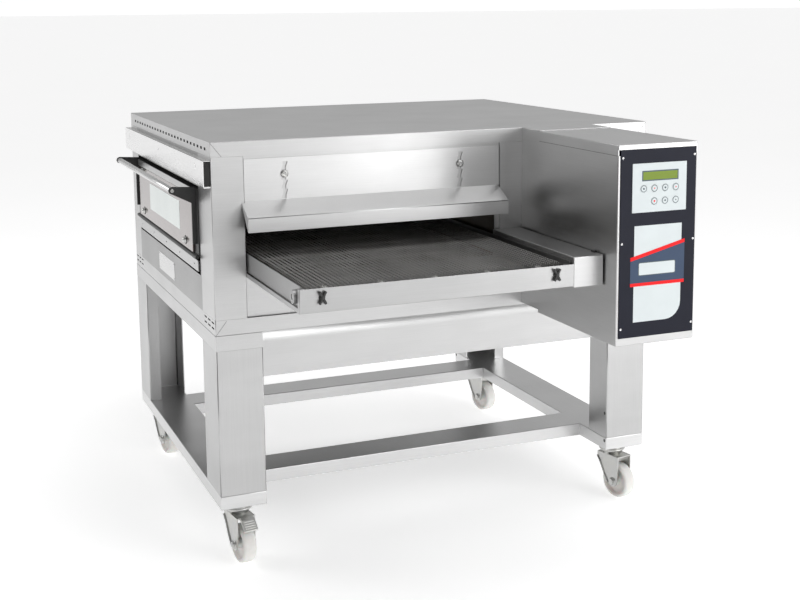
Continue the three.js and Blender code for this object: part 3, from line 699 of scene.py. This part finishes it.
# Shutters: one over each tunnel mouth. A flat sheet with two toothed slots hangs on studs at any of four
# heights; its foot is folded into a sloping hood with a turned-down lip.
stud_nut = [(0, 1.5), (3, 1.5), (3, 3.5), (6.5, 3), (8, 1.5), (9.5, 1), (9.5, 0), (0, 0)]
# The shutters take a lighter copy of the satin steel: painted highlight.
lit_shutter_steel = satin_steel("lit_shutter_steel", grey(0.50), grey(0.70), 0.32)
for end, out in (("outlet", -1), ("inlet", 1)):
    fit(f"{end}_hood", from_cad(f"{end}_shutter", 1.4 * MM), lit_shutter_steel, f"{end}_shutter")
    panel_low, panel_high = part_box(f"{end}_end_panel")
    nut_y = (panel_low.y if end == "outlet" else panel_high.y) - out * 2.7 * MM
    nuts = bmesh.new()
    for across in (191, 677):
        centre = Vector((panel_low.x + across * MM, nut_y, panel_low.z + 360.7 * MM))
        turned(nuts, stud_nut, centre, (0, out, 0), 24)
    fit(f"{end}_shutter_nuts", nuts, zinc, body="oven", slot="zinc")

# Cable gland: a black moulded hexagon nut and dome in the inlet end sheet, where the mains lead comes in.
gland_low, gland_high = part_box("cable_gland")
gland_centre = ((gland_low.x + gland_high.x) / 2, gland_high.y, (gland_low.z + gland_high.z) / 2)
gland = bmesh.new()
nut_profile = [(6.2, -18), (15, -18), (15, -12), (14, -11), (6.2, -11)]
for vert in turned(gland, nut_profile, gland_centre, (0, 1, 0), 6, closed=True):
    for face in vert.link_faces:
        face.smooth = False
dome_profile = [(6.2, -17), (11, -17), (11, -6), (9.8, -1.6), (7.6, 0), (6.2, 0)]
turned(gland, dome_profile, gland_centre, (0, 1, 0), 32, closed=True)
fit("mains_gland", gland, black_paint, "cable_gland")

# Conveyor side rails: folded stainless strips that run the whole length of the belt, with a turned bearing
# boss at each end for the shafts.
# The rails take the darker copy of the casing steel, which is painted shade.
for side in ("left", "right"):
    rail_node = f"conveyor_rail_{side}"
    fit(f"rail_{side}", from_cad(rail_node, 0.8 * MM), shaded_side_steel, rail_node)

# Wire belt: endless flat-flex belt of bent spring wire. Every strand crosses the belt in shallow zigzags and
# hooks over and under the next strand, 9 mm on, so the belt bends round its end shafts.
belt_wire = surface(
    "belt_wire",
    lambda t: t.between(t.clouds((12, 6, 30), detail=4), (0.30, 0.29, 0.28), (0.62, 0.61, 0.60)),
    lambda t: 0.28 + 0.2 * t.clouds((60, 60, 60)),
    Metallic=1.0,
)
belt_low, belt_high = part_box("mesh_belt")
axis_z = (belt_high.z + belt_low.z) / 2


def loop_length(ends_y, radius):
    """The length of an endless loop that turns round two equal wheels."""
    return 2 * (ends_y[1] - ends_y[0]) + math.tau * radius


def on_loop(distance, ends_y, radius):
    """The point at that distance along the loop, and the angle by which the loop has turned there."""
    run, arc = ends_y[1] - ends_y[0], math.pi * radius
    distance %= loop_length(ends_y, radius)
    if distance < run:
        y, angle = ends_y[0] + distance, 0.0
    elif distance < run + arc:
        y, angle = ends_y[1], (distance - run) / radius
    elif distance < 2 * run + arc:
        y, angle = ends_y[1] - (distance - run - arc), math.pi
    else:
        y, angle = ends_y[0], math.pi + (distance - 2 * run - arc) / radius
    reach = Vector((0, math.sin(angle), math.cos(angle))) * radius
    return Vector((0, y, axis_z)) + reach, angle


wire_radius = 0.75 * MM
belt_radius = (belt_high.z - belt_low.z) / 2 - 2.2 * MM
belt_ends = (belt_low.y + 24 * MM, belt_high.y - 24 * MM)
strand_count = round(loop_length(belt_ends, belt_radius) / (9 * MM))
strand_pitch = loop_length(belt_ends, belt_radius) / strand_count
zigzags = 54
zigzag = (belt_high.x - belt_low.x - 4 * MM) / zigzags
strand = bmesh.new()
start = Matrix.Translation((belt_low.x + 2 * MM, 0, 0)) @ Matrix.Rotation(math.pi / 2, 4, "Y")
ring = bmesh.ops.create_circle(strand, cap_ends=True, segments=3, radius=wire_radius, matrix=start)
front = edges_of(ring["verts"])
hook, lift = strand_pitch * 1.1, wire_radius * 1.6
for i in range(zigzags):
    for step_x, step_y, step_z in ((0.26, 0, 0), (0.24, hook, lift), (0.26, 0, 0), (0.24, -hook, -lift)):
        grown = bmesh.ops.extrude_edge_only(strand, edges=front)["geom"]
        tip = [item for item in grown if isinstance(item, bmesh.types.BMVert)]
        front = [item for item in grown if isinstance(item, bmesh.types.BMEdge)]
        front = [edge for edge in front if all(vert in tip for vert in edge.verts)]
        bmesh.ops.translate(strand, verts=tip, vec=(step_x * zigzag, step_y, step_z))
bmesh.ops.edgeloop_fill(strand, edges=front)
bmesh.ops.recalc_face_normals(strand, faces=strand.faces)
for face in strand.faces:
    face.smooth = len(face.verts) == 4
strand_mesh = bpy.data.meshes.new("belt_strand")
strand.to_mesh(strand_mesh)
strand.free()

belt_parts = 4
for part in range(belt_parts):
    belt = bmesh.new()
    for i in range(part, strand_count, belt_parts):
        before = len(belt.verts)
        belt.from_mesh(strand_mesh)
        belt.verts.ensure_lookup_table()
        point, angle = on_loop(i * strand_pitch, belt_ends, belt_radius)
        place = Matrix.Translation(point) @ Matrix.Rotation(-angle, 4, "X")
        bmesh.ops.transform(belt, matrix=place, verts=belt.verts[before:])
    fit(f"wire_belt_{part + 1}", belt, belt_wire, "mesh_belt")

# Shafts: a bright bar at each end of the belt. Five toothed wheels on each carry the wires, and the drive
# shaft ends in the chain wheel.


def block_teeth(shape, centre, root, tip, count, width):
    """Adds a ring of block teeth, from just under the root radius to the tip radius, in millimetres."""
    for i in range(count):
        low = (width * 0.15 * MM, -1.5 * MM, (root - 1) * MM)
        tooth = slab(shape, low, (width * 0.85 * MM, 1.5 * MM, tip * MM))
        place = Matrix.Translation(centre) @ Matrix.Rotation(i * math.tau / count, 4, "X")
        bmesh.ops.transform(shape, matrix=place, verts=tooth)


def toothed_wheel(shape, centre, root, tip, count, width):
    """A chain or belt wheel: a round blank, bored for the shaft, with one tooth for each pitch."""
    blank = [(shaft_radius, 0), (root, 0), (root, width), (shaft_radius, width)]
    turned(shape, blank, centre, (1, 0, 0), 36, closed=True)
    block_teeth(shape, centre, root, tip, count, width)


shaft_radius = 6
for end in ("drive", "idler"):
    low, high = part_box(f"{end}_shaft")
    y, z = (low.y + high.y) / 2, axis_z
    shaft = bmesh.new()
    length = (high.x - low.x) / MM
    near_end = [(0, 0), (shaft_radius - 1, 0), (shaft_radius, 1)]
    far_end = [(radius, length - along) for radius, along in reversed(near_end)]
    turned(shaft, near_end + far_end, (low.x, y, z), (1, 0, 0), 24)
    for i in range(5):
        toothed_wheel(shaft, Vector((low.x + (71 + i * 135) * MM, y, z)), 16, 19, 10, 12)
    if end == "drive":
        toothed_wheel(shaft, Vector((high.x - 22 * MM, y, z)), 20, 23, 14, 6)
    fit(f"{end}_roller", shaft, zinc, f"{end}_shaft")

wheel_low, wheel_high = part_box("motor_wheel")
motor_wheel = bmesh.new()
wheel_centre = (wheel_low.x, (wheel_low.y + wheel_high.y) / 2, axis_z)
disc_and_hub = [(0, 0), (20, 0), (20, 6), (10, 6), (10, 20), (0, 20)]
turned(motor_wheel, disc_and_hub, wheel_centre, (1, 0, 0), 36)
block_teeth(motor_wheel, wheel_centre, 20, 23, 14, 6)
fit("motor_chain_wheel", motor_wheel, zinc, "motor_wheel")

# Drive chain: half-inch roller chain from the gear motor to the outlet shaft, oiled dark.
oiled_steel = surface(
    "oiled_steel",
    lambda t: t.between(t.clouds((90, 90, 90), detail=4), (0.09, 0.085, 0.08), (0.3, 0.29, 0.27)),
    lambda t: 0.25 + 0.25 * t.clouds((70, 70, 70)),
    Metallic=1.0,
)
chain_low, chain_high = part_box("drive_chain")
chain_radius = 26.5 * MM
chain_ends = (chain_low.y + 28.5 * MM, chain_high.y - 28.5 * MM)
chain_length = loop_length(chain_ends, chain_radius)
link_count = 2 * round(chain_length / (2 * 12.7 * MM))
link_pitch = chain_length / link_count
chain_x = Vector(((chain_low.x + chain_high.x) / 2, 0, 0))
pin_reach = Vector((2.6 * MM, 0, 0))
chain = bmesh.new()


def thicken(shape, faces, travel):
    """Grows flat faces into plates by carrying a copy of them along by travel."""
    grown = bmesh.ops.extrude_face_region(shape, geom=faces)["geom"]
    moved = [item for item in grown if isinstance(item, bmesh.types.BMVert)]
    bmesh.ops.translate(shape, verts=moved, vec=travel)


for i in range(link_count):
    here, there = (chain_x + on_loop(n * link_pitch, chain_ends, chain_radius)[0] for n in (i, i + 1))
    round_bar(chain, here - pin_reach, here + pin_reach, 2.1 * MM, 8)
    offset = 2.5 * MM if i % 2 else 1.7 * MM
    for x in (-offset, offset):
        along = (there - here).normalized() * 1.5 * MM
        across = Vector((1, 0, 0)).cross(there - here).normalized() * 2 * MM
        start, end = here - along, there + along
        plate_corners = [start + across, start - across, end - across, end + across]
        plate_verts = [chain.verts.new(corner + Vector((x - 0.3 * MM, 0, 0))) for corner in plate_corners]
        thicken(chain, [chain.faces.new(plate_verts)], (0.6 * MM, 0, 0))
bmesh.ops.recalc_face_normals(chain, faces=chain.faces)
fit("roller_chain", chain, oiled_steel, "drive_chain")

# Chain cover: a long folded box beside the belt that hides the chain, with two lock notches by its end.
fit("chain_guard", from_cad("chain_cover", 1.6 * MM), casing_steel, "chain_cover")
cover_low, cover_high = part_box("chain_cover")
catches = bmesh.new()
for back, width, rise in ((34, 16, 3.5), (12, 8, -6)):
    start_y, top_z = cover_low.y + back * MM, cover_high.z + rise * MM
    catch_low = (cover_high.x - 6 * MM, start_y, top_z - 6 * MM)
    slab(catches, catch_low, (cover_high.x + 2.5 * MM, start_y + width * MM, top_z))
ease(catches, catches.edges[:], 1.2 * MM, 2)
fit("cover_catches", catches, black_paint, body="oven", slot="black_paint")

# Crumb trays: shallow pans hung under each end of the conveyor; each pulls out by its tall front wall.
tray_steel = satin_steel("tray_steel", grey(0.34), grey(0.50), 0.36)
for end in ("outlet", "inlet"):
    fit(f"{end}_tray_pan", from_cad(f"{end}_crumb_tray", 1.4 * MM), tray_steel, f"{end}_crumb_tray")

# Tray latches: black moulded wing knobs on the outlet tray's front wall; a quarter turn frees the tray.
knob_profile = [(0, 0), (7.5, 0), (7.5, 1.2), (6, 1.6), (5.6, 6.5), (4, 8.4), (0, 8.7)]
for side in ("left", "right"):
    low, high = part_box(f"tray_latch_{side}")
    centre = Vector(((low.x + high.x) / 2, high.y, (low.z + high.z) / 2))
    latch = bmesh.new()
    turned(latch, knob_profile, centre, (0, -1, 0), 24)
    for lobe in (28, 152, 208, 332):
        wing = slab(latch, (-3.1 * MM, -8.2 * MM, 4 * MM), (3.1 * MM, -2.4 * MM, 16.5 * MM))
        edges = edges_of(wing)
        place = Matrix.Translation(centre) @ Matrix.Rotation(math.radians(lobe), 4, "Y")
        bmesh.ops.transform(latch, matrix=place, verts=wing)
        ease(latch, edges, 1.8 * MM, 3)
    fit(f"wing_knob_{side}", latch, black_paint, f"tray_latch_{side}")

# Control box: a folded stainless case on a neck beside the outlet, with a lift-off cap.
fit("control_case", from_cad("control_box", 1.8 * MM), casing_steel, "control_box")
fit("control_lid", from_cad("control_cap", 1.8 * MM), casing_steel, "control_cap")
cap_low, cap_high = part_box("control_cap")
seam = bmesh.new()
for x in (cap_low.x, cap_high.x):
    start, end = (x, cap_low.y + 2 * MM, cap_low.z), (x, cap_high.y - 2 * MM, cap_low.z)
    round_bar(seam, start, end, 0.7 * MM, 6)
fit("cap_seam", seam, weld_grey, body="oven", slot="stainless")

# Control panel: a dark blue laminate plate on the front of the case, held by six small bright screws.


def print_film(name, colour, grain=0.06, roughness=0.42, **constants):
    """Printed film: nearly even colour under a fine textured skin."""
    darker = tuple(channel * (1 - grain) for channel in colour)
    lighter = tuple(min(1, channel * (1 + grain)) for channel in colour)
    return surface(
        name,
        lambda t: t.between(t.clouds((18, 18, 18), detail=4), darker, lighter),
        lambda t: roughness - 0.06 + 0.12 * t.clouds((11, 11, 11), detail=4),
        lambda t: t.clouds((1500, 1500, 1500)),
        0.00003,
        Specular_IOR_Level=0.2,
        **constants,
    )


navy_film = print_film("navy_film", (0.008, 0.009, 0.019), 0.15, 0.5)
white_film = print_film("white_film", (0.66, 0.71, 0.72))
blue_film = print_film("blue_film", (0.048, 0.074, 0.130), 0.1)
red_film = print_film("red_film", (0.85, 0.008, 0.012), 0.04)
outline_ink = print_film("outline_ink", (0.10, 0.13, 0.15))
panel_low, panel_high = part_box("control_panel")
fit("panel_plate", from_cad("control_panel", 0.5 * MM, 1.2 * MM, 2), navy_film, "control_panel")
panel_screws = bmesh.new()
for x in (panel_low.x + 5.5 * MM, panel_high.x - 5.5 * MM):
    for up in (23, 231, 437):
        screw(panel_screws, (x, panel_low.y, panel_low.z + up * MM), (0, -1, 0), 3.1)
bright_screw = plated("bright_screw", grey(0.7), grey(0.85), 0.25)
fit("panel_screws", panel_screws, bright_screw, body="oven", slot="zinc")


layer = 0.22 * MM


def film(name, corners, lift, material, radii=0.0):
    """A printed film. Corners and their radii are in millimetres from the panel's lower left corner."""
    shape = bmesh.new()
    back_y = panel_low.y - lift
    outline = [shape.verts.new((panel_low.x + x * MM, back_y, panel_low.z + z * MM)) for x, z in corners]
    shape.faces.new(outline)
    radii = radii if isinstance(radii, list) else [radii] * len(corners)
    for vert, radius in zip(outline, radii):
        if radius:
            rounding = {"segments": 6, "profile": 0.5, "affect": "VERTICES", "material": -1}
            bmesh.ops.bevel(shape, geom=[vert], offset=radius * MM, **rounding)
    thicken(shape, shape.faces[:], (0, -layer, 0))
    bmesh.ops.recalc_face_normals(shape, faces=shape.faces)
    fit(name, shape, material, body="oven", slot="label")


def rectangle(left, right, low, high):
    return [(left, low), (right, low), (right, high), (left, high)]


# Panel prints: a tall white label, a slanting blue-grey band over it edged with red, and a white field.
film("label_field", rectangle(40, 173, 37, 272), 0, white_film, [0, 42, 0, 0])
film("label_band", [(30, 130), (182, 130), (182, 228), (30, 191)], layer, blue_film)
film("band_top_stripe", [(30, 187), (182, 224), (182, 233), (30, 196)], 2 * layer, red_film)
film("band_foot_stripe", rectangle(30, 182, 125, 133), 2 * layer, red_film)
film("field_border", rectangle(52, 157, 150, 183), 2 * layer, outline_ink, 4)
film("field_window", rectangle(54, 155, 152, 181), 3 * layer, white_film, 3)

# Keypad: a white membrane with a small green display in a dark bezel and seven domed keys.
keypad_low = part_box("keypad_plate")[0]
fit("keypad_membrane", from_cad("keypad_plate", 0.3 * MM, 1 * MM, 1), white_film, "keypad_plate")
keypad_lift = panel_low.y - keypad_low.y
display_glass = print_film("display_glass", (0.17, 0.25, 0.008), 0.12, 0.2, Coat_Weight=0.15)
film("display_bezel", rectangle(58, 160, 379, 404), keypad_lift, outline_ink, 1)
film("display_field", rectangle(61, 157, 382, 401), keypad_lift + layer, display_glass)

ring_profile = [(7.0, -0.5), (7.0, 0.05), (7.9, 0.05), (7.9, -0.6)]
triangle_keys, red_keys = (2, 4, 7), (2, 4, 5)
for i in range(1, 8):
    low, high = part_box(f"key_{i}")
    body = nodes[f"key_{i}"]["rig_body"]
    centre = Vector(((low.x + high.x) / 2, low.y, (low.z + high.z) / 2))
    deep = (high.y - low.y) / MM
    dome = [(0, 0), (5, -0.05), (7.6, -0.3), (8.4, -0.8), (8.4, -deep), (0, -deep)]
    key = bmesh.new()
    turned(key, dome, centre, (0, -1, 0), 32)
    fit(f"key_cap_{i}", key, white_film, f"key_{i}")
    ring = bmesh.new()
    turned(ring, ring_profile, centre, (0, -1, 0), 32, closed=True)
    fit(f"key_ring_{i}", ring, outline_ink, body=body, slot="label")
    mark = bmesh.new()
    sides = 3 if i in triangle_keys else 16
    point_way = math.pi / 2 if i == 2 else -math.pi / 2
    turn = Matrix.Rotation(math.pi / 2, 4, "X") @ Matrix.Rotation(point_way, 4, "Z")
    sizes = {"segments": sides, "radius1": 2.4 * MM, "radius2": 2.4 * MM, "depth": 0.4 * MM}
    bmesh.ops.create_cone(mark, cap_ends=True, matrix=Matrix.Translation(centre) @ turn, **sizes)
    fit(f"key_mark_{i}", mark, red_film if i in red_keys else outline_ink, body=body, slot="label")

# Stand legs: 3 mm channels of satin steel with the grain upright, bolted between the frames.
leg_steel = satin_steel("leg_steel", grey(0.40), grey(0.58), 0.36, lay="upright")
corners = [f"{end}_{side}" for end in ("front", "rear") for side in ("left", "right")]
for corner in corners:
    fit(f"stand_leg_{corner}", from_cad(f"leg_{corner}", 3 * MM), leg_steel, f"leg_{corner}")

# Stand frames: the upper one carries the oven on two channels tied by apron sheets; the lower one is two
# long channels and two cross channels, in a lighter copy of the satin steel: painted light. Plugged bolt
# holes show on the legs.
fit("stand_top_frame", from_cad("upper_frame", 2.2 * MM), casing_steel, "upper_frame")
frame_steel = satin_steel("frame_steel", grey(0.54), grey(0.76), 0.34)
fit("stand_foot_frame", from_cad("lower_frame", 2.2 * MM), frame_steel, "lower_frame")

stand_plugs = bmesh.new()
plug = [(0, 0.3), (4.6, 0.3), (5, 0), (5, -0.4), (0, -0.4)]
for corner in corners:
    low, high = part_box(f"leg_{corner}")
    inner_x, inward = (high.x, 1) if "left" in corner else (low.x, -1)
    plug_y = low.y + 9.5 * MM if "front" in corner else high.y - 9.5 * MM
    for z in (low.z + 72 * MM, low.z - 10 * MM):
        turned(stand_plugs, plug, (inner_x, plug_y, z), (inward, 0, 0), 20)
fit("stand_plugs", stand_plugs, black_paint, body="oven", slot="black_paint")

# Casters: a pressed zinc fork on a swivel head with two ball races, a hexagon axle bolt and a white nylon
# wheel with a crowned tread and a recessed web.
nylon = surface(
    "white_nylon",
    lambda t: t.between(t.clouds((45, 45, 45), detail=5), (0.66, 0.65, 0.62), (0.86, 0.86, 0.84)),
    lambda t: 0.42 + 0.2 * t.clouds((35, 35, 35), detail=4),
    lambda t: t.clouds((260, 260, 260), detail=3),
    0.0001,
    Subsurface_Weight=0.1,
)
axle_height, trail = 51 * MM, 30 * MM


def caster_fork():
    """The pressed fork under its two ball races, with rolled lips and the axle bolt."""
    fork = bmesh.new()
    lower_race = [(0, 127), (25, 127), (27, 129), (27, 133), (33, 136), (37.5, 140), (38, 143), (37, 145.2)]
    upper_race = [(34, 145.6), (34, 147.2), (37, 147.6), (38, 149.5), (35, 152.5), (29, 155)]
    stem = [(13, 157), (12, 158), (12, 160.7), (0, 160.7)]
    turned(fork, lower_race + upper_race + stem, (0, 0, 0), (0, 0, 1), 40)
    crown = slab(fork, (-26 * MM, -52 * MM, 124 * MM), (26 * MM, 34 * MM, 128 * MM))
    ease(fork, edges_of(crown), 1.8 * MM, 3)
    cheek_top = [(-52, 128), (34, 128)]
    cheek_lip = [(34, 114), (20, 96), (5, 68), (-14, 42)]
    cheek_foot = [(-22, 36), (-30, 34), (-38, 36), (-45, 42), (-50, 58), (-52, 80)]
    for sign in (-1, 1):
        outline = [Vector((sign * 22.8, y, z)) * MM for y, z in cheek_top + cheek_lip + cheek_foot]
        cheek = fork.faces.new([fork.verts.new(point) for point in outline])
        thicken(fork, [cheek], (sign * 3 * MM, 0, 0))
        lip = [Vector((sign * 27, y, z)) * MM for y, z in cheek_lip]
        for start, end in zip(lip, lip[1:]):
            round_bar(fork, start, end, 2.2 * MM, 10)
        nut = Vector((sign * 25.5 * MM, -trail, axle_height))
        turned(fork, [(0, 0), (11.5, 0), (11.5, 1.4), (0, 1.4)], nut, (sign, 0, 0), 28)
        round_bar(fork, nut, nut + Vector((sign * 7 * MM, 0, 0)), 9.2 * MM, 6)
        round_bar(fork, nut, nut + Vector((sign * 7.4 * MM, 0, 0)), 4.8 * MM, 16)
    round_bar(fork, (-28 * MM, -trail, axle_height), (28 * MM, -trail, axle_height), 5.8 * MM, 20)
    bmesh.ops.recalc_face_normals(fork, faces=fork.faces)
    return fork


def caster_wheel():
    """The nylon wheel: half its profile from the bore over the web to the tread, and the same mirrored."""
    wheel = bmesh.new()
    hub = [(6.4, 20.5), (12, 20.5), (13.5, 19), (13.5, 9)]
    web = [(16, 7), (34, 7), (37, 9), (40, 16)]
    tread = [(42, 17.5), (45.5, 17.5), (48.5, 16), (50.2, 12), (50.9, 6)]
    half = hub + web + tread
    near_half = [(radius, -width) for radius, width in half]
    turned(wheel, near_half + [(51, 0)] + half[::-1], (0, -trail, axle_height), (1, 0, 0), 64, closed=True)
    return wheel


def brake_pedal():
    """A bent zinc tongue in front of the fork, ribbed across, that is trodden down on the wheel."""
    pedal = bmesh.new()
    tongue = [(-54, 124), (-54, 130.5), (-66, 126), (-88, 104), (-86, 100), (-64, 119)]
    side = [pedal.verts.new((-19 * MM, y * MM, z * MM)) for y, z in tongue]
    thicken(pedal, [pedal.faces.new(side)], (38 * MM, 0, 0))
    bmesh.ops.recalc_face_normals(pedal, faces=pedal.faces)
    ease(pedal, pedal.edges[:], 1.2 * MM, 3)
    for i in range(4):
        y, z = (-70 - i * 4.5) * MM, (122.3 - i * 4.5) * MM
        round_bar(pedal, (-15 * MM, y, z), (15 * MM, y, z), 0.9 * MM, 8)
    return pedal


# Each caster is made under the origin, turned as its axle's joint says, and carried to its swivel's axis.
joints = {joint["name"]: joint for joint in frame["record"]["behaviour"]["joints"]}
for corner in corners:
    swivel_x, swivel_y, _ = joints[f"swivel_{corner}"]["pos_m"]
    axle = joints[f"roll_{corner}"]["axis"]
    turn = Matrix.Rotation(math.atan2(axle[1], axle[0]), 4, "Z")
    place = Matrix.Translation((swivel_x, swivel_y, 0)) @ turn
    caster_pieces = [
        (f"fork_{corner}", caster_fork(), zinc, f"caster_fork_{corner}"),
        (f"wheel_{corner}", caster_wheel(), nylon, f"caster_wheel_{corner}"),
    ]
    if corner == "front_left":
        caster_pieces.append(("brake_tongue", brake_pedal(), zinc, "brake_pedal"))
    for name, shape, material, node in caster_pieces:
        bmesh.ops.transform(shape, matrix=place, verts=shape.verts)
        fit(name, shape, material, node)
